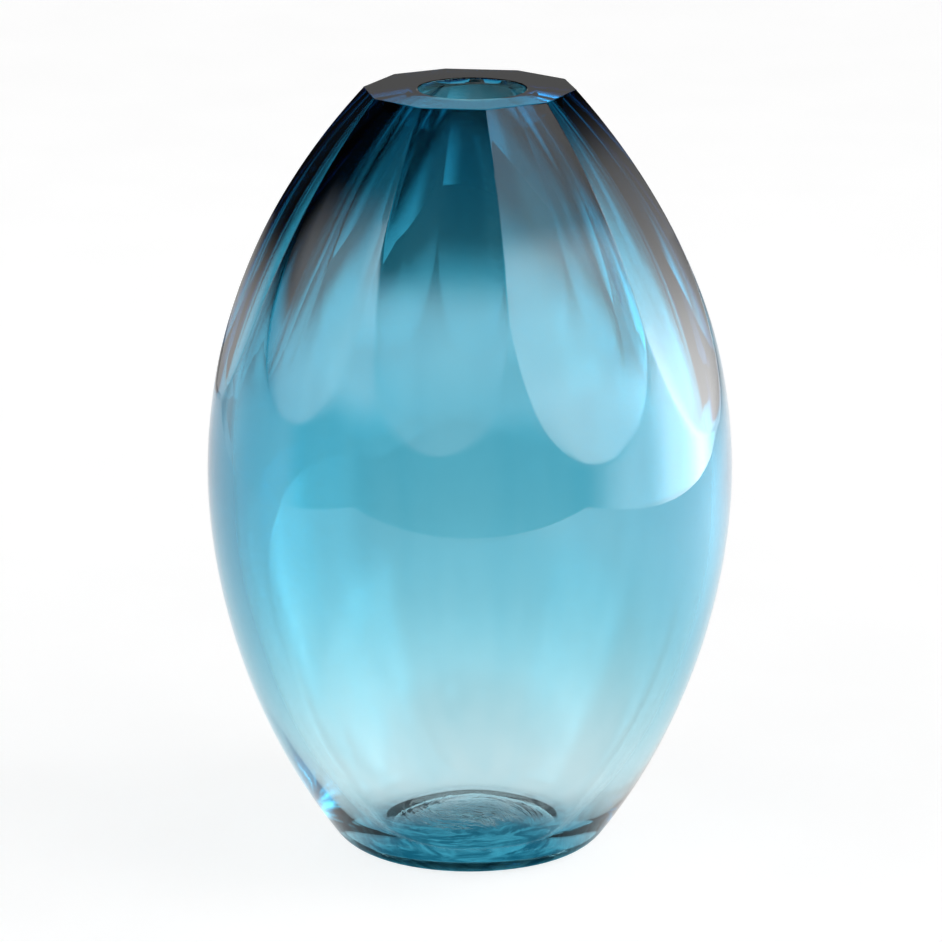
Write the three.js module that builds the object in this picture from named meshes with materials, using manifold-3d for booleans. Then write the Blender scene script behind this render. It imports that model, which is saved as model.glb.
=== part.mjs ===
// A thick-walled blown glass vase, 300 mm tall, with ten long petal-shaped facets cut round its shoulder.
// Millimetres, +Z up. The origin is the centre of the foot, on the plane that the vase stands on.
//
// The vase is made in two gathers of glass. The inner gather is deep teal: it lines the whole cavity,
// thickest at the mouth and thinnest at the floor. The outer gather is pale aqua, and it carries the
// cut facets, the polished top and the foot. Each gather is one closed solid.

import * as THREE from "three";
import { mergeVertices } from "three/addons/utils/BufferGeometryUtils.js";
import Module from "manifold-3d";

// ---- Driving dimensions ----------------------------------------------------------------------------

const HEIGHT = 300;
const BODY_RADIUS = 101.5; // at the widest level, before any cutting
const WIDEST_Z = 150; // height of the widest level

// The blown outline, above and below the widest level: radius = BODY_RADIUS * (1 - t^rise)^(1 / round),
// where t is the distance from the widest level divided by reach.
const OUTLINE_ABOVE = { reach: 181, rise: 1.97, round: 1.3 };
const OUTLINE_BELOW = { reach: 183.7, rise: 1.89, round: 1.49 };

const FOOT_ROUNDING = 19; // radius of the soft turn from the wall into the foot
const FOOT_RING_INNER = 36; // the ground ring that the vase stands on starts here
const PUNT_DEPTH = 5; // hollow in the underside, inside the ring

// The cut facets. A facet is straight across and bends gently from the rim to its tip:
// its distance from the axis at a depth d below the rim is rimDistance + SLOPE d - BEND d^2 + EASE d^3.
const FACET_COUNT = 10;
const FIRST_FACET_ANGLE = 11; // degrees from +X
const FACET_RIM_DISTANCE = 38.3;
const FACET_SLOPE = 0.861;
const FACET_BEND = 0.0042;
const FACET_EASE = 0.00001043;
const FACET_HAND_CUT = [1.0, 0.2, -0.9, 0.3, -0.1, 0.7, 0.9, 0.2, -0.9, -0.7]; // each facet's own depth error
const FACET_RUN = 160; // how far below the rim the grinding path is followed, past every tip

// The cavity, with the same kind of outline as the body.
const CAVITY_RADIUS = 93;
const CAVITY_ABOVE = { reach: 161.6, rise: 1.97, round: 1.3 };
const CAVITY_BELOW = { reach: 166, rise: 2.0, round: 1.6 };
const CAVITY_OFFSET_X = 0.9; // the blown cavity sits this far off the body's axis
const FLOOR_TURN_Z = 24; // below this the cavity wall turns in towards the floor
const FLOOR_VALLEY_RADIUS = 36; // lowest ring of the cavity floor
const FLOOR_VALLEY_Z = 8.5;
const FLOOR_CENTRE_Z = 12.5; // the floor rises to a low dome in the middle

// The inner gather's thickness runs from LAYER_AT_FLOOR to LAYER_AT_RIM.
const LAYER_AT_FLOOR = 1.0;
const LAYER_AT_RIM = 5.5;
const GATHER_GAP = 0.3; // clearance between the two gathers

// Fineness of the meshes.
const ROUND_STEPS = 50;
const WALL_STEPS = 15;
const TURN_STEPS = 5;
const FLOOR_STEPS = 5;
const FACET_STEPS = 10;

const TRIM_MARGIN = 20; // how far cutting solids reach past what they cut

// ---- Outlines --------------------------------------------------------------------------------------

function outlineRadius(z, widest, above, below) {
  const side = z > WIDEST_Z ? above : below;
  const t = Math.min(Math.abs(z - WIDEST_Z) / side.reach, 1);
  return widest * Math.pow(1 - Math.pow(t, side.rise), 1 / side.round);
}

function bodyRadius(z) {
  return outlineRadius(z, BODY_RADIUS, OUTLINE_ABOVE, OUTLINE_BELOW);
}

function cavityRadius(z) {
  return outlineRadius(z, CAVITY_RADIUS, CAVITY_ABOVE, CAVITY_BELOW);
}

// Outward unit normal of a radius function at height z, as (radial, vertical).
function outlineNormal(radiusAt, z) {
  const step = 0.5;
  const slope = (radiusAt(z + step) - radiusAt(z - step)) / (2 * step);
  return new THREE.Vector2(1, -slope).normalize();
}

// Heights from low to high, closer together near both ends, where the outline turns fastest.
function wallHeights(low, high, steps) {
  const heights = [];
  for (let i = 0; i <= steps; i++) {
    const even = i / steps;
    const eased = (1 - Math.cos(Math.PI * even)) / 2;
    heights.push(low + (high - low) * (0.4 * even + 0.6 * eased));
  }
  return heights;
}

// The height where a ball of FOOT_ROUNDING, standing on the ground plane inside the wall, touches the wall.
function footTangentZ() {
  let low = 0;
  let high = FOOT_ROUNDING;
  for (let i = 0; i < 40; i++) {
    const middle = (low + high) / 2;
    const normal = outlineNormal(bodyRadius, middle);
    const centreZ = middle - FOOT_ROUNDING * normal.y;
    if (centreZ > FOOT_ROUNDING) high = middle;
    else low = middle;
  }
  return (low + high) / 2;
}

// The body's outline from the top of the punt, round the foot and up the wall to above the rim.
function bodyProfile() {
  const points = [];
  for (let i = 0; i < FLOOR_STEPS; i++) {
    const share = i / FLOOR_STEPS;
    points.push(new THREE.Vector2(FOOT_RING_INNER * share, PUNT_DEPTH * (1 - share * share)));
  }
  points.push(new THREE.Vector2(FOOT_RING_INNER, 0));

  const tangentZ = footTangentZ();
  const normal = outlineNormal(bodyRadius, tangentZ);
  const centre = bodyRadius(tangentZ) - FOOT_ROUNDING * normal.x;
  const endAngle = Math.atan2(normal.y, normal.x);
  for (let i = 0; i < TURN_STEPS; i++) {
    const angle = -Math.PI / 2 + (endAngle + Math.PI / 2) * (i / TURN_STEPS);
    const radius = centre + FOOT_ROUNDING * Math.cos(angle);
    points.push(new THREE.Vector2(radius, FOOT_ROUNDING * (1 + Math.sin(angle))));
  }
  for (const z of wallHeights(tangentZ, HEIGHT + TRIM_MARGIN, WALL_STEPS)) {
    points.push(new THREE.Vector2(bodyRadius(z), z));
  }
  points.push(new THREE.Vector2(0, HEIGHT + TRIM_MARGIN));
  return points;
}

// The cavity's outline from the middle of its floor to above the rim.
function cavityProfile() {
  const points = [];
  const rise = FLOOR_CENTRE_Z - FLOOR_VALLEY_Z;
  for (let i = 0; i < FLOOR_STEPS; i++) {
    const share = i / FLOOR_STEPS;
    const z = FLOOR_VALLEY_Z + (rise * (1 + Math.cos(Math.PI * share))) / 2;
    points.push(new THREE.Vector2(FLOOR_VALLEY_RADIUS * share, z));
  }

  // The turn leaves the wall along the wall's own slope and reaches the valley level.
  const wallFoot = new THREE.Vector2(cavityRadius(FLOOR_TURN_Z), FLOOR_TURN_Z);
  const normal = outlineNormal(cavityRadius, FLOOR_TURN_Z);
  const drop = FLOOR_TURN_Z - FLOOR_VALLEY_Z;
  const corner = new THREE.Vector2(wallFoot.x + (drop * normal.y) / normal.x, FLOOR_VALLEY_Z);
  const valley = new THREE.Vector2(FLOOR_VALLEY_RADIUS, FLOOR_VALLEY_Z);
  const turn = new THREE.QuadraticBezierCurve(valley, corner, wallFoot);
  points.push(...turn.getPoints(TURN_STEPS).slice(0, -1));

  for (const z of wallHeights(FLOOR_TURN_Z, HEIGHT + TRIM_MARGIN / 4, WALL_STEPS)) {
    points.push(new THREE.Vector2(cavityRadius(z), z));
  }
  return points;
}

// How thick the teal gather is at a height: it thins steadily as it is blown out towards the floor.
function layerThickness(z) {
  const share = THREE.MathUtils.clamp((z - FLOOR_VALLEY_Z) / (HEIGHT - FLOOR_VALLEY_Z), 0, 1);
  return LAYER_AT_FLOOR + (LAYER_AT_RIM - LAYER_AT_FLOOR) * share * share;
}

// The cavity's outline moved into the glass by a distance that depends on the height, and closed on the axis.
function offsetCavityProfile(distanceAt) {
  const inner = cavityProfile();
  const moved = inner.map((point, i) => {
    const before = inner[Math.max(i - 1, 0)];
    const after = inner[Math.min(i + 1, inner.length - 1)];
    const along = after.clone().sub(before).normalize();
    const intoGlass = i === 0 ? new THREE.Vector2(0, -1) : new THREE.Vector2(along.y, -along.x);
    return point.clone().addScaledVector(intoGlass, distanceAt(point.y));
  });
  moved[0].x = 0;
  const last = moved[moved.length - 1];
  moved.push(new THREE.Vector2(last.x, HEIGHT + TRIM_MARGIN));
  moved.push(new THREE.Vector2(0, HEIGHT + TRIM_MARGIN));
  return moved;
}

// ---- Solids ----------------------------------------------------------------------------------------

const wasm = await Module();
wasm.setup();

function toManifold(geometry) {
  geometry.deleteAttribute("normal");
  geometry.deleteAttribute("uv");
  const merged = mergeVertices(geometry, 1e-4);
  return new wasm.Manifold(
    new wasm.Mesh({
      numProp: 3,
      vertProperties: new Float32Array(merged.attributes.position.array),
      triVerts: new Uint32Array(merged.index.array),
    }),
  );
}

function toGeometry(solid) {
  const mesh = solid.getMesh();
  const geometry = new THREE.BufferGeometry();
  geometry.setAttribute("position", new THREE.BufferAttribute(mesh.vertProperties, 3));
  geometry.setIndex(new THREE.BufferAttribute(mesh.triVerts, 1));
  geometry.computeVertexNormals();
  return geometry;
}

// A solid turned about the Z axis from a profile of (radius, height) points, from the bottom to the top.
function turned(profile) {
  const geometry = new THREE.LatheGeometry(profile, ROUND_STEPS);
  geometry.rotateX(Math.PI / 2);
  return toManifold(geometry);
}

// What the wheel takes away at one facet: everything outside the facet's curved face.
function facetCut(index) {
  const rimDistance = FACET_RIM_DISTANCE + FACET_HAND_CUT[index];
  const outline = new THREE.Shape();
  const farOut = BODY_RADIUS + TRIM_MARGIN;
  outline.moveTo(farOut, -FACET_RUN);
  for (let i = 0; i <= FACET_STEPS; i++) {
    const depth = FACET_RUN * (1 - i / FACET_STEPS);
    const distance =
      rimDistance + FACET_SLOPE * depth - FACET_BEND * depth ** 2 + FACET_EASE * depth ** 3;
    outline.lineTo(distance, -depth);
  }
  outline.lineTo(rimDistance - FACET_SLOPE * TRIM_MARGIN, TRIM_MARGIN);
  outline.lineTo(farOut, TRIM_MARGIN);
  outline.closePath();

  const width = BODY_RADIUS;
  const geometry = new THREE.ExtrudeGeometry(outline, { depth: width, bevelEnabled: false });
  geometry.translate(0, 0, -width / 2);
  geometry.rotateX(Math.PI / 2);
  geometry.translate(0, 0, HEIGHT);
  geometry.rotateZ(THREE.MathUtils.degToRad(FIRST_FACET_ANGLE + (index * 360) / FACET_COUNT));
  return toManifold(geometry);
}

// Everything above the polished top.
function aboveTop() {
  const size = 3 * BODY_RADIUS;
  const geometry = new THREE.BoxGeometry(size, size, size);
  geometry.translate(0, 0, HEIGHT + size / 2);
  return toManifold(geometry);
}

function cavityPlug(distanceAt) {
  return turned(offsetCavityProfile(distanceAt)).translate([CAVITY_OFFSET_X, 0, 0]);
}

function outerCasing() {
  let solid = turned(bodyProfile());
  for (let i = 0; i < FACET_COUNT; i++) {
    solid = solid.subtract(facetCut(i));
  }
  solid = solid.subtract(cavityPlug((z) => layerThickness(z) + GATHER_GAP));
  return solid.subtract(aboveTop());
}

function colourLayer() {
  const outside = cavityPlug(layerThickness);
  const inside = cavityPlug(() => 0);
  return outside.subtract(inside).subtract(aboveTop());
}

// ---- Assembly --------------------------------------------------------------------------------------

const paleAqua = new THREE.MeshStandardMaterial({
  color: 0x9fd3de,
  roughness: 0.03,
  metalness: 0,
  transparent: true,
  opacity: 0.4,
});
const deepTeal = new THREE.MeshStandardMaterial({
  color: 0x0b6f8f,
  roughness: 0.03,
  metalness: 0,
  transparent: true,
  opacity: 0.6,
});

function part(name, solid, material) {
  const mesh = new THREE.Mesh(toGeometry(solid), material);
  mesh.name = name;
  return mesh;
}

const vase = new THREE.Group();
vase.add(part("outer_casing", outerCasing(), paleAqua));
vase.add(part("colour_layer", colourLayer(), deepTeal));

export default vase;
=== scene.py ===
"""A cut glass vase: a thick blown body with ten long petal facets, deep teal fading to pale aqua."""

import math

import bmesh
import bpy
import numpy as np
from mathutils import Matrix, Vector, noise


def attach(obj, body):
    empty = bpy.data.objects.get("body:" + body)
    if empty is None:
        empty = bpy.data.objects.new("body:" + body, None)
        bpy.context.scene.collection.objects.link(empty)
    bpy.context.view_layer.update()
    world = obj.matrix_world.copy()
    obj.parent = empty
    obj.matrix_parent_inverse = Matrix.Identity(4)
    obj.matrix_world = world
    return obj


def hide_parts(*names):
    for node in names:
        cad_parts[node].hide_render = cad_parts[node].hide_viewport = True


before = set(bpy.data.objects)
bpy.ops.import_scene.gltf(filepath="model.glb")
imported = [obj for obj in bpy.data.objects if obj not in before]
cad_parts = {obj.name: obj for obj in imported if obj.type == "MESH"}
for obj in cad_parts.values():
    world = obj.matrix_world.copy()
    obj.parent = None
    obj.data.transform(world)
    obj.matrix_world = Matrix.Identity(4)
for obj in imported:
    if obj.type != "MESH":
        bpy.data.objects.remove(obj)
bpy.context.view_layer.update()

# ---- Driving dimensions, in millimetres, as in the CAD part ------------------------------------------

MM = 0.001
HEIGHT = 300.0
BODY_RADIUS = 101.5
WIDEST_Z = 150.0
OUTLINE_ABOVE = (181.0, 1.97, 1.3)  # reach, rise, round
OUTLINE_BELOW = (183.7, 1.89, 1.49)

FOOT_ROUNDING = 19.0
FOOT_TOP_Z = 24.0  # the mesh has finer rows below this
FOOT_RING_INNER = 36.0
FOOT_RING_EDGE = 1.2  # width of the softened edges of the ground ring
PUNT_DEPTH = 5.0

FACET_COUNT = 10
FACET_PITCH = 2 * math.pi / FACET_COUNT
FIRST_FACET_ANGLE = math.radians(11)
FACET_RIM_DISTANCE = 38.3
FACET_SLOPE = 0.861
FACET_BEND = 0.0042
FACET_EASE = 0.00001043
FACET_HAND_CUT = (1.0, 0.2, -0.9, 0.3, -0.1, 0.7, 0.9, 0.2, -0.9, -0.7)
FACETS_START_Z = 140.0  # every facet's tip is above this
FACET_TIPS_END_Z = 172.0  # and below this, where the mesh has finer rows

CAVITY_RADIUS = 93.0
CAVITY_ABOVE = (161.6, 1.97, 1.3)
CAVITY_BELOW = (166.0, 2.0, 1.6)
CAVITY_OFFSET_X = 0.9
FLOOR_TURN_Z = 24.0
FLOOR_VALLEY_RADIUS = 36.0
FLOOR_VALLEY_Z = 8.5
FLOOR_CENTRE_Z = 12.5

# The deep teal gather fades out towards the floor, and is thicker again in the neck.
LAYER_AT_FLOOR = 0.05
LAYER_AT_BELLY = 1.15
LAYER_AT_RIM = 3.0
LAYER_START_Z = 20.0  # it starts to thicken here
LAYER_FULL_Z = 150.0  # and reaches its belly thickness here
LAYER_NECK_Z = 200.0  # and thickens above this
LAYER_DEPTH_IN_GLASS = 0.05  # how far the tinted layer lies behind the cavity's polished face

# Small roundings that polishing leaves.
ARRIS_BLEND = 0.25
RIM_ROUNDING = 0.35
MOUTH_ROUNDING = 0.5

# The blown cavity's waves.
WAVE_DEPTH = 0.35
WAVE_HEIGHT = 45.0

# Fineness of the meshes.
FACET_COLUMNS = 10  # across one facet
GAP_COLUMNS = 10  # across the blown surface between two facets
CAVITY_COLUMNS = 96


# ---- Outlines ----------------------------------------------------------------------------------------

def outline_radius(z, widest, above, below):
    reach, rise, rounding = above if z > WIDEST_Z else below
    t = min(abs(z - WIDEST_Z) / reach, 1.0)
    return widest * (1 - t**rise) ** (1 / rounding)


def body_radius(z):
    return outline_radius(z, BODY_RADIUS, OUTLINE_ABOVE, OUTLINE_BELOW)


def cavity_radius(z):
    return outline_radius(z, CAVITY_RADIUS, CAVITY_ABOVE, CAVITY_BELOW)


def outline_normal(radius_at, z):
    slope = radius_at(z + 0.5) - radius_at(z - 0.5)
    length = math.hypot(1, slope)
    return 1 / length, -slope / length


def spread(low, high, count, power=1.0):
    """count + 1 values from low to high, closer together near low when power is over 1."""
    return [low + (high - low) * (i / count) ** power for i in range(count + 1)]


def foot_tangent_z():
    """The height where the foot's rounding, standing on the ground plane, touches the wall."""
    low, high = 0.0, FOOT_ROUNDING
    for _ in range(40):
        middle = (low + high) / 2
        if middle - FOOT_ROUNDING * outline_normal(body_radius, middle)[1] > FOOT_ROUNDING:
            high = middle
        else:
            low = middle
    return (low + high) / 2


def foot_profile():
    """(radius, height) from the middle of the punt to the wall where the facets start."""
    points = []
    ring_start = FOOT_RING_INNER + FOOT_RING_EDGE
    for radius in spread(0.0, FOOT_RING_INNER - FOOT_RING_EDGE, 14):
        share = radius / FOOT_RING_INNER
        points.append((radius, PUNT_DEPTH * (1 - share * share)))
    edge = points[-1]
    for i in range(1, 5):
        t = i / 4
        radius = (1 - t) ** 2 * edge[0] + 2 * t * (1 - t) * FOOT_RING_INNER + t * t * ring_start
        points.append((radius, (1 - t) ** 2 * edge[1]))
    tangent_z = foot_tangent_z()
    normal = outline_normal(body_radius, tangent_z)
    centre = body_radius(tangent_z) - FOOT_ROUNDING * normal[0]
    points += [(radius, 0.0) for radius in spread(ring_start, centre, 3)[1:-1]]
    for angle in spread(-math.pi / 2, math.atan2(normal[1], normal[0]), 14):
        points.append((centre + FOOT_ROUNDING * math.cos(angle), FOOT_ROUNDING * (1 + math.sin(angle))))
    for z in spread(tangent_z, FOOT_TOP_Z, 8)[1:] + spread(FOOT_TOP_Z, FACETS_START_Z, 46)[1:]:
        points.append((body_radius(z), z))
    return points


def cavity_profile(top=HEIGHT - MOUTH_ROUNDING):
    """(radius, height) from the middle of the cavity's floor up to the given height."""
    points = []
    rise = FLOOR_CENTRE_Z - FLOOR_VALLEY_Z
    for radius in spread(0.0, FLOOR_VALLEY_RADIUS, 20)[:-1]:
        share = radius / FLOOR_VALLEY_RADIUS
        points.append((radius, FLOOR_VALLEY_Z + rise * (1 + math.cos(math.pi * share)) / 2))
    foot_radius = cavity_radius(FLOOR_TURN_Z)
    normal = outline_normal(cavity_radius, FLOOR_TURN_Z)
    corner = foot_radius + (FLOOR_TURN_Z - FLOOR_VALLEY_Z) * normal[1] / normal[0]
    for t in spread(0.0, 1.0, 14)[:-1]:
        radius = (1 - t) ** 2 * FLOOR_VALLEY_RADIUS + 2 * t * (1 - t) * corner + t * t * foot_radius
        points.append((radius, FLOOR_VALLEY_Z + t * t * (FLOOR_TURN_Z - FLOOR_VALLEY_Z)))
    for z in spread(FLOOR_TURN_Z, top, 92):
        points.append((cavity_radius(z), z))
    return points


def profile_normals(points):
    """Unit normals, pointing right of the direction of travel, by central differences."""
    p = np.array(points)
    ahead = np.vstack([p[1:], p[-1:]])
    behind = np.vstack([p[:1], p[:-1]])
    along = ahead - behind
    along /= np.linalg.norm(along, axis=1)[:, None]
    return np.stack([along[:, 1], -along[:, 0]], axis=1)


# ---- The faceted outside -----------------------------------------------------------------------------

FACET_ANGLES = FIRST_FACET_ANGLE + FACET_PITCH * np.arange(FACET_COUNT)
LEAST_FACING = 0.3  # cosine of the widest angle at which a facet's plane is still looked for
NO_CUT = 1000.0  # farther out than any glass


def facet_distances(z):
    """Distance of every facet's face from the axis at height z."""
    depth = HEIGHT - z
    curve = FACET_SLOPE * depth - FACET_BEND * depth**2 + FACET_EASE * depth**3
    return FACET_RIM_DISTANCE + np.array(FACET_HAND_CUT) + curve


def softened_minimum(a, b, blend):
    overlap = np.maximum(blend - np.abs(a - b), 0.0)
    return np.minimum(a, b) - overlap**2 / (4 * blend)


def outside_radius(angles, z):
    """Radius of the cut body at each angle, its arrises slightly rounded."""
    radius = np.full(len(angles), body_radius(z))
    for facet_angle, distance in zip(FACET_ANGLES, facet_distances(z)):
        facing = np.cos(angles - facet_angle)
        reach = np.where(facing > LEAST_FACING, distance / np.maximum(facing, LEAST_FACING), NO_CUT)
        radius = softened_minimum(radius, reach, ARRIS_BLEND)
    return radius


def outside_normals(angles, z):
    turn, step = 0.0002, 0.02
    radius = outside_radius(angles, z)
    across = (outside_radius(angles + turn, z) - outside_radius(angles - turn, z)) / (2 * turn * radius)
    upward = (outside_radius(angles, z + step) - outside_radius(angles, z - step)) / (2 * step)
    cosine, sine = np.cos(angles), np.sin(angles)
    normals = np.stack([cosine + across * sine, sine - across * cosine, -upward], axis=1)
    return normals / np.linalg.norm(normals, axis=1)[:, None]


def between(start, end, count, scale):
    """count angles from start up to, not including, end, with two close to each end."""
    width = end - start
    if width <= 1e-9:
        return [start] * count
    near = min(0.25 / scale, width * 0.08)
    far = min(0.6 / scale, width * 0.2)
    inner = np.linspace(start + far, end - far, count - 3)
    return [start, start + near, *inner, end - near]


def column_angles(z):
    """Angles of the mesh's columns at height z. They follow the edges of the facets."""
    radius = body_radius(z)
    distances = facet_distances(z)
    starts, ends = [], []
    for k, distance in enumerate(distances):
        if distance >= radius or z <= FACETS_START_Z:
            starts.append(FACET_ANGLES[k])
            ends.append(FACET_ANGLES[k])
            continue
        half = math.sqrt(radius**2 - distance**2)
        before, after = distances[k - 1], distances[(k + 1) % FACET_COUNT]
        to_before = (before - distance * math.cos(FACET_PITCH)) / math.sin(FACET_PITCH)
        to_after = (after - distance * math.cos(FACET_PITCH)) / math.sin(FACET_PITCH)
        starts.append(FACET_ANGLES[k] - math.atan2(min(half, to_before), distance))
        ends.append(FACET_ANGLES[k] + math.atan2(min(half, to_after), distance))
    angles = []
    for k in range(FACET_COUNT):
        next_start = starts[(k + 1) % FACET_COUNT] + (2 * math.pi if k == FACET_COUNT - 1 else 0)
        angles += between(starts[k], ends[k], FACET_COLUMNS, radius)
        angles += between(ends[k], max(next_start, ends[k]), GAP_COLUMNS, radius)
    return np.array(angles)


# ---- Mesh building -----------------------------------------------------------------------------------

class Surface:
    """Rows of vertices with their normals. A zero normal leaves that vertex to Blender's own smoothing."""

    def __init__(self):
        self.points = []
        self.normals = []
        self.faces = []

    def row(self, points, normals):
        first = len(self.points)
        self.points += [tuple(p) for p in points]
        self.normals += [tuple(n) for n in normals]
        return list(range(first, first + len(points)))

    def ring(self, radii, angles, heights, normals, centre_x=0.0):
        radii = np.broadcast_to(radii, angles.shape)
        heights = np.broadcast_to(heights, angles.shape)
        points = np.stack([centre_x + radii * np.cos(angles), radii * np.sin(angles), heights], axis=1)
        return self.row(points, normals)

    def join(self, lower, upper):
        """Quads between two rows of the same length."""
        count = len(lower)
        for i in range(count):
            j = (i + 1) % count
            self.faces.append((lower[i], lower[j], upper[j], upper[i]))

    def fan(self, centre, row, flip):
        count = len(row)
        for i in range(count):
            a, b = row[i], row[(i + 1) % count]
            self.faces.append((centre, b, a) if flip else (centre, a, b))

    def stitch(self, outer, inner):
        """Triangles between two rows of different lengths that both run round the axis."""
        turn = 2 * math.pi

        def angle_of(index):
            return math.atan2(self.points[index][1], self.points[index][0]) % turn

        outer = sorted(outer, key=angle_of)
        inner = sorted(inner, key=angle_of)
        i = j = 0
        while i < len(outer) or j < len(inner):
            a, b = outer[i % len(outer)], inner[j % len(inner)]
            next_a = angle_of(outer[(i + 1) % len(outer)]) + turn * ((i + 1) // len(outer))
            next_b = angle_of(inner[(j + 1) % len(inner)]) + turn * ((j + 1) // len(inner))
            if j >= len(inner) or (i < len(outer) and next_a <= next_b):
                self.faces.append((a, outer[(i + 1) % len(outer)], b))
                i += 1
            else:
                self.faces.append((a, inner[(j + 1) % len(inner)], b))
                j += 1

    def make(self, name):
        bm = bmesh.new()
        layer = bm.verts.layers.float_vector.new("wanted_normal")
        verts = []
        for point, normal in zip(self.points, self.normals):
            vert = bm.verts.new(Vector(point) * MM)
            vert[layer] = normal
            verts.append(vert)
        for face in self.faces:
            corners = [verts[i] for i in face]
            bm.faces.new(corners).smooth = True
        bmesh.ops.remove_doubles(bm, verts=bm.verts, dist=2e-7)
        layer = bm.verts.layers.float_vector["wanted_normal"]
        wanted = [tuple(v[layer]) for v in bm.verts]
        mesh = bpy.data.meshes.new(name)
        bm.to_mesh(mesh)
        bm.free()
        mesh.normals_split_custom_set_from_vertices(wanted)
        mesh.attributes.remove(mesh.attributes["wanted_normal"])
        obj = bpy.data.objects.new(name, mesh)
        bpy.context.scene.collection.objects.link(obj)
        return obj


def round_normals(angles, normal):
    radial, vertical = normal
    return np.stack(
        [radial * np.cos(angles), radial * np.sin(angles), np.full(len(angles), vertical)], axis=1
    )


def cavity_wave(angles, z):
    """The blown inner face is never quite true: how far it strays, in mm."""
    turns = [(2.0 * math.cos(a), 2.0 * math.sin(a), z / WAVE_HEIGHT) for a in angles]
    return WAVE_DEPTH * np.array([noise.noise(turn) for turn in turns])


def cavity_rows(surface, points):
    """Rings along a profile of the cavity, with its waves."""
    angles = np.arange(CAVITY_COLUMNS) * 2 * math.pi / CAVITY_COLUMNS
    unset = np.zeros((CAVITY_COLUMNS, 3))
    rows = []
    for radius, z in points:
        radii = radius + cavity_wave(angles, z) * min(radius / 20, 1)
        rows.append(surface.ring(radii, angles, z, unset, CAVITY_OFFSET_X))
    return rows


def glass_body():
    surface = Surface()

    # The foot and the round lower body.
    profile = foot_profile()
    normals = profile_normals(profile)
    low_angles = column_angles(FACETS_START_Z)
    bottom = surface.row([(0, 0, profile[0][1])], [(0, 0, -1)])[0]
    rows = []
    for (radius, z), normal in list(zip(profile, normals))[1:]:
        rows.append(surface.ring(radius, low_angles, z, round_normals(low_angles, normal)))
    surface.fan(bottom, rows[0], flip=True)

    # The faceted shoulder.
    top = HEIGHT - RIM_ROUNDING
    heights = spread(FACETS_START_Z, FACET_TIPS_END_Z, 64)[1:] + spread(FACET_TIPS_END_Z, top, 84)[1:]
    for z in heights:
        angles = column_angles(z)
        rows.append(surface.ring(outside_radius(angles, z), angles, z, outside_normals(angles, z)))

    # The rounded edge of the polished top.
    angles = column_angles(top)
    edge_radius = outside_radius(angles, top)
    side = outside_normals(angles, top)
    for turn in (30, 60, 90):
        cosine, sine = math.cos(math.radians(turn)), math.sin(math.radians(turn))
        normals = side * cosine + np.array([0, 0, 1]) * sine
        normals /= np.linalg.norm(normals, axis=1)[:, None]
        radii = edge_radius - RIM_ROUNDING * (1 - cosine)
        rows.append(surface.ring(radii, angles, top + RIM_ROUNDING * sine, normals))
    for lower, upper in zip(rows, rows[1:]):
        surface.join(lower, upper)

    # The mouth's rounded edge and the cavity.
    profile = cavity_profile()
    mouth_radius, mouth_z = profile[-1]
    angles = np.arange(CAVITY_COLUMNS) * 2 * math.pi / CAVITY_COLUMNS
    mouth = []
    for turn in (90, 60, 30):
        cosine, sine = math.cos(math.radians(turn)), math.sin(math.radians(turn))
        normals = round_normals(angles, (-cosine, sine))
        radius = mouth_radius + MOUTH_ROUNDING * (1 - cosine)
        z = mouth_z + MOUTH_ROUNDING * sine
        mouth.append(surface.ring(radius, angles, z, normals, CAVITY_OFFSET_X))
    surface.stitch(rows[-1], mouth[0])
    inside = cavity_rows(surface, profile[1:])
    inside = mouth + inside[::-1]
    for upper, lower in zip(inside, inside[1:]):
        surface.join(upper, lower)
    floor = surface.row([(CAVITY_OFFSET_X, 0, profile[0][1])], [(0, 0, 1)])[0]
    surface.fan(floor, inside[-1], flip=False)
    return surface.make("glass_body")


def layer_thickness(z):
    share = min(max((z - LAYER_START_Z) / (LAYER_FULL_Z - LAYER_START_Z), 0.0), 1.0)
    belly = LAYER_AT_FLOOR + (LAYER_AT_BELLY - LAYER_AT_FLOOR) * share * share * (3 - 2 * share)
    neck = max(z - LAYER_NECK_Z, 0.0) / (HEIGHT - LAYER_NECK_Z)
    return belly + (LAYER_AT_RIM - LAYER_AT_BELLY) * neck**2


def cut_at_top(points, top):
    """The stretch of a profile that is below top, ending level with it."""
    kept = [p for p in points if p[1] < top - 0.05]
    above = points[len(kept)]
    below = kept[-1]
    share = (top - below[1]) / (above[1] - below[1])
    return kept + [(below[0] + (above[0] - below[0]) * share, top)]


def moved_into_glass(points, distance_at):
    normals = profile_normals(points)
    moved = []
    for (radius, z), normal in zip(points, normals):
        distance = distance_at(z)
        moved.append((max(radius + normal[0] * distance, 0.0), z + normal[1] * distance))
    return moved


def colour_layer():
    """The tinted gather: a closed skin just inside the glass, behind the cavity's face."""
    surface = Surface()
    top = HEIGHT - LAYER_DEPTH_IN_GLASS
    profile = cavity_profile(HEIGHT + 6)
    inner = cut_at_top(moved_into_glass(profile, lambda z: LAYER_DEPTH_IN_GLASS), top)
    outer = cut_at_top(moved_into_glass(profile, lambda z: LAYER_DEPTH_IN_GLASS + layer_thickness(z)), top)
    inner_rows = cavity_rows(surface, inner[1:])
    outer_rows = cavity_rows(surface, outer[1:])
    for upper, lower in zip(inner_rows[::-1], inner_rows[::-1][1:]):
        surface.join(upper, lower)
    for lower, upper in zip(outer_rows, outer_rows[1:]):
        surface.join(lower, upper)
    surface.join(outer_rows[-1], inner_rows[-1])
    middle = surface.row([(CAVITY_OFFSET_X, 0, inner[0][1])], [(0, 0, 0)])[0]
    surface.fan(middle, inner_rows[0], flip=False)
    middle = surface.row([(CAVITY_OFFSET_X, 0, outer[0][1])], [(0, 0, 0)])[0]
    surface.fan(middle, outer_rows[0], flip=True)
    return surface.make("teal_layer")


# ---- Materials ---------------------------------------------------------------------------------------

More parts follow.
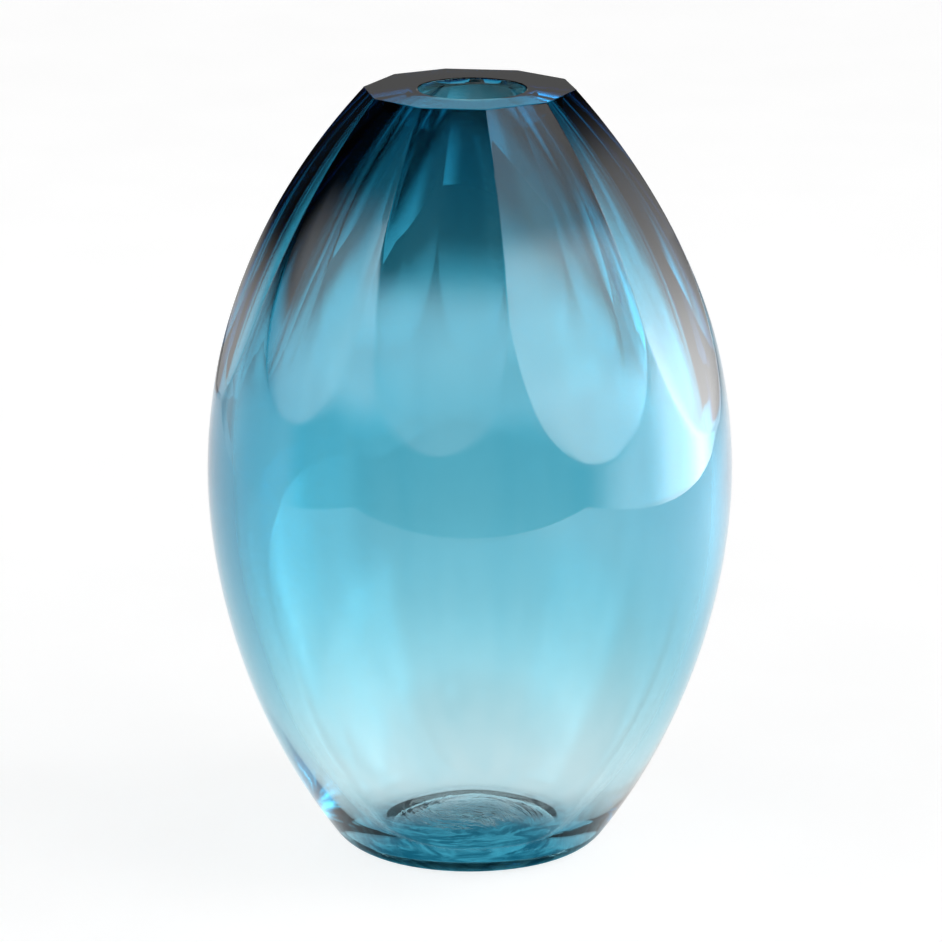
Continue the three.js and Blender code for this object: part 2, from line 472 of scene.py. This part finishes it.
CASING_ABSORPTION = (18.0, 8.0, 6.0)  # per metre, of red, green and blue
TEAL_ABSORPTION = (900.0, 300.0, 190.0)
CASING_INDEX = 1.5
TEAL_INDEX = 1.0  # relative to the casing round it
RIPPLE_SCALE = 22.0
RIPPLE_DEPTH = 0.05
SWIRL_SCALE = 130.0
SWIRL_DEPTH = 0.35
SWIRL_TURN = 45.0  # radians per metre from the axis
SWIRL_REACH = (33.0, 24.0)  # radius where the swirls begin, and where they are full
SWIRL_TOP = (14.0, 12.0)  # height below which they begin, and where they are full
SMEAR_SCALE = 9.0
SMEAR_ROUGHNESS = 0.006
STREAK_SCALE = 60.0
STREAK_TINT = (0.93, 0.98, 0.99, 1.0)
WHITE = (1.0, 1.0, 1.0, 1.0)


class Nodes:
    """Short ways to build a node tree."""

    def __init__(self, tree):
        self.tree = tree

    def new(self, kind, **settings):
        node = self.tree.nodes.new(kind)
        for setting, value in settings.items():
            setattr(node, setting, value)
        return node

    def feed(self, socket, value):
        if isinstance(value, bpy.types.NodeSocket):
            self.tree.links.new(value, socket)
        else:
            socket.default_value = value

    def math(self, operation, first, second=0.0):
        node = self.new("ShaderNodeMath", operation=operation)
        self.feed(node.inputs[0], first)
        self.feed(node.inputs[1], second)
        return node.outputs[0]

    def vector_math(self, operation, first, second=(0.0, 0.0, 0.0)):
        node = self.new("ShaderNodeVectorMath", operation=operation)
        self.feed(node.inputs[0], first)
        self.feed(node.inputs[1], second)
        return node.outputs["Value" if operation in ("DOT_PRODUCT", "LENGTH") else "Vector"]

    def blend(self, value, start, end, low=0.0, high=1.0):
        """low where value is start, high where it is end, and a smooth change between them."""
        node = self.new("ShaderNodeMapRange", interpolation_type="SMOOTHSTEP")
        self.feed(node.inputs["Value"], value)
        self.feed(node.inputs["From Min"], start)
        self.feed(node.inputs["From Max"], end)
        self.feed(node.inputs["To Min"], low)
        self.feed(node.inputs["To Max"], high)
        return node.outputs["Result"]

    def noise(self, place, scale, detail=2.0, distortion=0.0):
        node = self.new("ShaderNodeTexNoise")
        self.feed(node.inputs["Vector"], place)
        self.feed(node.inputs["Scale"], scale)
        self.feed(node.inputs["Detail"], detail)
        self.feed(node.inputs["Distortion"], distortion)
        return node.outputs["Fac"]

    def bump(self, height, distance, normal=None):
        node = self.new("ShaderNodeBump")
        self.feed(node.inputs["Height"], height)
        self.feed(node.inputs["Distance"], distance)
        if normal is not None:
            self.feed(node.inputs["Normal"], normal)
        return node.outputs["Normal"]


def absorbing_glass(name, ior, absorption):
    """Glass with the given absorption per metre of red, green and blue, with its shader and nodes."""
    material = bpy.data.materials.new(name)
    material.use_nodes = True
    nodes = Nodes(material.node_tree)
    shader = material.node_tree.nodes["Principled BSDF"]
    shader.inputs["Base Color"].default_value = (1, 1, 1, 1)
    shader.inputs["Roughness"].default_value = 0.0
    shader.inputs["IOR"].default_value = ior
    shader.inputs["Transmission Weight"].default_value = 1.0
    strongest = max(absorption)
    volume = nodes.new("ShaderNodeVolumeAbsorption")
    volume.inputs["Color"].default_value = (*[1 - a / strongest for a in absorption], 1)
    volume.inputs["Density"].default_value = strongest
    nodes.feed(material.node_tree.nodes["Material Output"].inputs["Volume"], volume.outputs["Volume"])
    return material, shader, nodes


def casing_glass():
    """Cut glass: faint ripples of the blown wall, and the swirls left in the middle of the foot."""
    material, shader, nodes = absorbing_glass("casing_glass", CASING_INDEX, CASING_ABSORPTION)
    place = nodes.new("ShaderNodeTexCoord").outputs["Object"]
    stretched = nodes.vector_math("MULTIPLY", place, (1.0, 1.0, 0.35))
    ripples = nodes.bump(nodes.noise(stretched, RIPPLE_SCALE, 1.0), RIPPLE_DEPTH * MM)
    flat = nodes.vector_math("MULTIPLY", place, (1.0, 1.0, 0.0))
    radius = nodes.vector_math("LENGTH", flat)
    twist = nodes.new("ShaderNodeVectorRotate", rotation_type="Z_AXIS")
    nodes.feed(twist.inputs["Vector"], flat)
    nodes.feed(twist.inputs["Angle"], nodes.math("MULTIPLY", radius, SWIRL_TURN))
    stretched = nodes.vector_math("MULTIPLY", twist.outputs["Vector"], (0.4, 1.0, 1.0))
    height = nodes.new("ShaderNodeSeparateXYZ")
    nodes.feed(height.inputs[0], place)
    in_foot = nodes.math(
        "MULTIPLY",
        nodes.blend(radius, *[r * MM for r in SWIRL_REACH]),
        nodes.blend(height.outputs["Z"], *[z * MM for z in SWIRL_TOP]),
    )
    swirls = nodes.math("MULTIPLY", nodes.noise(stretched, SWIRL_SCALE, 3.0, 1.2), in_foot)
    nodes.feed(shader.inputs["Normal"], nodes.bump(swirls, SWIRL_DEPTH * MM, ripples))
    smears = nodes.blend(nodes.noise(place, SMEAR_SCALE), 0.35, 0.7, 0.0, SMEAR_ROUGHNESS)
    nodes.feed(shader.inputs["Roughness"], smears)
    return material


def teal_glass():
    """The gather of colour, with faint upright streaks.

    It lies inside the casing's glass. Its relative index is 1, so its faces neither bend nor mirror light.
    """
    material, shader, nodes = absorbing_glass("teal_glass", TEAL_INDEX, TEAL_ABSORPTION)
    place = nodes.new("ShaderNodeTexCoord").outputs["Object"]
    stretched = nodes.vector_math("MULTIPLY", place, (1.0, 1.0, 0.15))
    streaks = nodes.noise(stretched, STREAK_SCALE)
    tint = nodes.new("ShaderNodeMix", data_type="RGBA")
    nodes.feed(tint.inputs["Factor"], nodes.blend(streaks, 0.4, 0.75))
    nodes.feed(tint.inputs["A"], WHITE)
    nodes.feed(tint.inputs["B"], STREAK_TINT)
    nodes.feed(shader.inputs["Base Color"], tint.outputs["Result"])
    return material


body = glass_body()
body.data.materials.append(casing_glass())
layer = colour_layer()
layer.data.materials.append(teal_glass())
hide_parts("outer_casing")
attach(body, "root")
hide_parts("colour_layer")
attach(layer, "root")


# ---- Stage -------------------------------------------------------------------------------------------

PAPER_ALBEDO = 0.35
PAPER_GLOW = 0.8
GRAIN_SCALE = 14.0
FLOOR_Z = -0.0004
TABLE_Z = -0.0002
TABLE_FRONT = -0.65
TABLE_BACK = 2.3
TABLE_SIDE = 0.75
TABLE_DIMS = (0.7, 1.6, 0.25)  # painted dimming: starts to dim at this y, is dim by this y, to this share
POOL_SIDE = (0.1, 0.5)  # the painted pool of the key lamp's light begins at this x, and is full by this x
POOL_DEPTH = (1.2, 0.1, 1.1)  # the painted pool begins at this y, is full by this y, adding this share
# A painted shadow of the vase on the table, tinted teal, with a painted pattern of light in it.
SHADOW_CENTRE = (0.0, -0.028, 0.0)
SHADOW_RADIUS = 0.05
SHADOW_EDGE = (0.6, 1.7)  # shares of that radius between which it fades
TINTED_SHADOW = (0.01, 0.14, 0.22)
TINTED_LIGHT = (0.08, 0.42, 0.56)  # painted light in that painted shadow, standing in for what the swirls in the foot throw
LIGHT_SCALE = 70.0
FAR = 6.0


def plane(name, x0, x1, y0, y1, z):
    mesh = bpy.data.meshes.new(name)
    mesh.from_pydata([(x0, y0, z), (x1, y0, z), (x1, y1, z), (x0, y1, z)], [], [(0, 1, 2, 3)])
    obj = bpy.data.objects.new(name, mesh)
    bpy.context.scene.collection.objects.link(obj)
    return obj


def paper(name):
    material = bpy.data.materials.new(name)
    material.use_nodes = True
    shader = material.node_tree.nodes["Principled BSDF"]
    shader.inputs["Roughness"].default_value = 0.8
    shader.inputs["Specular IOR Level"].default_value = 0.1
    shader.inputs["Emission Strength"].default_value = 1.0
    return material, shader, Nodes(material.node_tree)


def floor_paper():
    """Plain pale paper, lit evenly, with a faint grain."""
    material, shader, nodes = paper("floor_paper")
    place = nodes.new("ShaderNodeTexCoord").outputs["Object"]
    grain = nodes.blend(nodes.noise(place, GRAIN_SCALE, 3.0), 0.3, 0.7, 0.985, 1.0)
    glow = nodes.vector_math("SCALE", (PAPER_GLOW, PAPER_GLOW, PAPER_GLOW))
    nodes.feed(glow.node.inputs["Scale"], grain)
    nodes.feed(shader.inputs["Emission Color"], glow)
    shader.inputs["Base Color"].default_value = (PAPER_ALBEDO, PAPER_ALBEDO, PAPER_ALBEDO, 1)
    return material


def table_paper():
    """The paper as the glass sees it.

    Its glow has light and shade painted into it. It is painted dimmer far behind the vase and brighter to
    the right, where the key lamp stands. Close to the foot lies a painted tinted shadow of the vase, with a
    painted pattern of light in it standing in for what the swirls in the foot throw.
    """
    material, shader, nodes = paper("table_paper")
    place = nodes.new("ShaderNodeTexCoord").outputs["Object"]
    split = nodes.new("ShaderNodeSeparateXYZ")
    nodes.feed(split.inputs[0], place)
    x, y = split.outputs["X"], split.outputs["Y"]
    # Painted light in the table's glow: dimmer far behind, and a painted pool of the key lamp's light to
    # the right.
    near, far, dim = TABLE_DIMS
    depth = nodes.blend(y, near, far, 1.0, dim)
    start, full, extra = POOL_DEPTH
    pool = nodes.math("MULTIPLY", nodes.blend(x, *POOL_SIDE), nodes.blend(y, start, full, 0.0, extra))
    light = nodes.math("MULTIPLY", depth, nodes.math("ADD", pool, 1.0))
    # Painted shadow: the glow turns to the painted tint near the foot, patterned with painted light.
    from_centre = nodes.vector_math("SUBTRACT", place, SHADOW_CENTRE)
    from_centre = nodes.vector_math("DIVIDE", from_centre, (SHADOW_RADIUS, SHADOW_RADIUS, 1.0))
    from_centre = nodes.vector_math("LENGTH", from_centre)
    stretched = nodes.vector_math("MULTIPLY", place, (0.6, 1.0, 1.0))
    tint = nodes.new("ShaderNodeMix", data_type="RGBA")
    thrown = nodes.noise(stretched, LIGHT_SCALE, 2.0, 2.5)
    nodes.feed(tint.inputs["Factor"], nodes.blend(thrown, 0.36, 0.68))
    nodes.feed(tint.inputs["A"], (*TINTED_SHADOW, 1.0))
    nodes.feed(tint.inputs["B"], (*TINTED_LIGHT, 1.0))
    shade = nodes.new("ShaderNodeMix", data_type="RGBA")
    nodes.feed(shade.inputs["Factor"], nodes.blend(from_centre, *SHADOW_EDGE))
    nodes.feed(shade.inputs["A"], tint.outputs["Result"])
    nodes.feed(shade.inputs["B"], WHITE)
    glow = nodes.vector_math("SCALE", shade.outputs["Result"])
    nodes.feed(glow.node.inputs["Scale"], light)
    nodes.feed(shader.inputs["Emission Color"], glow)
    shader.inputs["Base Color"].default_value = (0.0, 0.0, 0.0, 1)
    return material


# The camera sees the floor. The glass sees the table instead, which ends before the horizon.
floor = plane("floor", -FAR, FAR, -FAR, FAR, FLOOR_Z)
floor.data.materials.append(floor_paper())
floor.visible_glossy = False
floor.visible_transmission = False
floor.visible_diffuse = False
table = plane("table", -TABLE_SIDE, TABLE_SIDE, TABLE_FRONT, TABLE_BACK, TABLE_Z)
table.data.materials.append(table_paper())
table.visible_camera = False
table.visible_diffuse = False

# Soft lamps far round the vase, in degrees: azimuth of the middle (0 is right, 90 behind), half width,
# softness of the sides, lowest and highest elevation, softness of those edges; then brightness.
STUDIO_LAMPS = (
    (5, 34, 24, -60, 19, 6, 3.5),  # key lamp
    (20, 18, 16, -60, 8, 10, 3.2),  # its bright lower middle
    (45, 20, 16, -60, 3, 8, 2.0),  # the lit paper beside it
    (4, 22, 16, 19, 36, 8, 4.0),  # its top
    (328, 15, 10, 11, 36, 6, 2.8),  # its front edge
    (342, 22, 14, 14, 100, 10, 1.6),  # lamp above the front right
    (250, 72, 14, -60, 36, 6, 0.1),  # wide front and left fill, in three steps upward
    (250, 72, 14, 10, 36, 8, 1.3),
    (250, 72, 14, 24, 36, 8, 0.9),
    (202, 24, 12, 8, 36, 8, 1.4),  # its left end
    (158, 28, 12, -60, 8, 8, 0.9),  # low card behind the left
    (112, 14, 10, -60, -3, 6, 0.6),  # the lit paper beside it
    (88, 12, 8, 2, 9, 3, 0.85),  # narrow card behind
    (88, 12, 8, 8, 16, 3, 0.2),  # its dim top, mirrored in the ground rim
    (90, 60, 14, -60, -2, 6, 0.25),  # far end of the room's pale floor
)
ROOM_GLOW = 0.01  # what the darkest parts of the room send


def studio_world():
    world = bpy.data.worlds.new("studio")
    world.use_nodes = True
    nodes = Nodes(world.node_tree)
    direction = nodes.new("ShaderNodeTexCoord").outputs["Generated"]
    split = nodes.new("ShaderNodeSeparateXYZ")
    nodes.feed(split.inputs[0], direction)
    elevation = nodes.math("ARCSINE", split.outputs["Z"])
    level = nodes.vector_math("NORMALIZE", nodes.vector_math("MULTIPLY", direction, (1.0, 1.0, 0.0)))
    light = ROOM_GLOW
    for azimuth, half_width, side_softness, lowest, highest, softness, brightness in STUDIO_LAMPS:
        middle = (math.cos(math.radians(azimuth)), math.sin(math.radians(azimuth)), 0.0)
        aside = nodes.math("ARCCOSINE", nodes.vector_math("DOT_PRODUCT", level, middle))
        outer = math.radians(half_width + side_softness / 2)
        inner = math.radians(half_width - side_softness / 2)
        lamp = nodes.blend(aside, outer, inner, 0.0, brightness)
        for edge, inward in ((lowest, 1), (highest, -1)):
            outside = math.radians(edge - inward * softness / 2)
            inside = math.radians(edge + inward * softness / 2)
            lamp = nodes.math("MULTIPLY", lamp, nodes.blend(elevation, outside, inside))
        light = nodes.math("ADD", lamp, light)
    seen = nodes.new("ShaderNodeMix", data_type="RGBA")
    nodes.feed(seen.inputs["Factor"], nodes.new("ShaderNodeLightPath").outputs["Is Camera Ray"])
    nodes.feed(seen.inputs["A"], light)
    nodes.feed(seen.inputs["B"], WHITE)
    nodes.feed(world.node_tree.nodes["Background"].inputs["Color"], seen.outputs["Result"])
    bpy.context.scene.world = world


studio_world()

# ---- Camera and look ---------------------------------------------------------------------------------

CAMERA_DISTANCE = 2.454
CAMERA_HEIGHT = 0.796
CAMERA_AIM_Z = 0.1493
CAMERA_SIDE = 0.00045
CAMERA_LENS = 250.8  # mm
CAMERA_SENSOR = 36

# Light that runs down inside the wall to the foot meets many faces before it leaves.
MOST_BOUNCES = 96
MOST_MIRRORINGS = 48

camera_data = bpy.data.cameras.new("camera")
camera_data.lens = CAMERA_LENS
camera_data.sensor_width = CAMERA_SENSOR
camera = bpy.data.objects.new("camera", camera_data)
camera.location = (CAMERA_SIDE, -CAMERA_DISTANCE, CAMERA_HEIGHT)
aim = Vector((CAMERA_SIDE, 0, CAMERA_AIM_Z)) - camera.location
camera.rotation_euler = aim.to_track_quat("-Z", "Y").to_euler()
bpy.context.scene.collection.objects.link(camera)
scene = bpy.context.scene
scene.camera = camera
scene.view_settings.view_transform = "Standard"
scene.cycles.max_bounces = MOST_BOUNCES
scene.cycles.transmission_bounces = MOST_BOUNCES
scene.cycles.glossy_bounces = MOST_MIRRORINGS
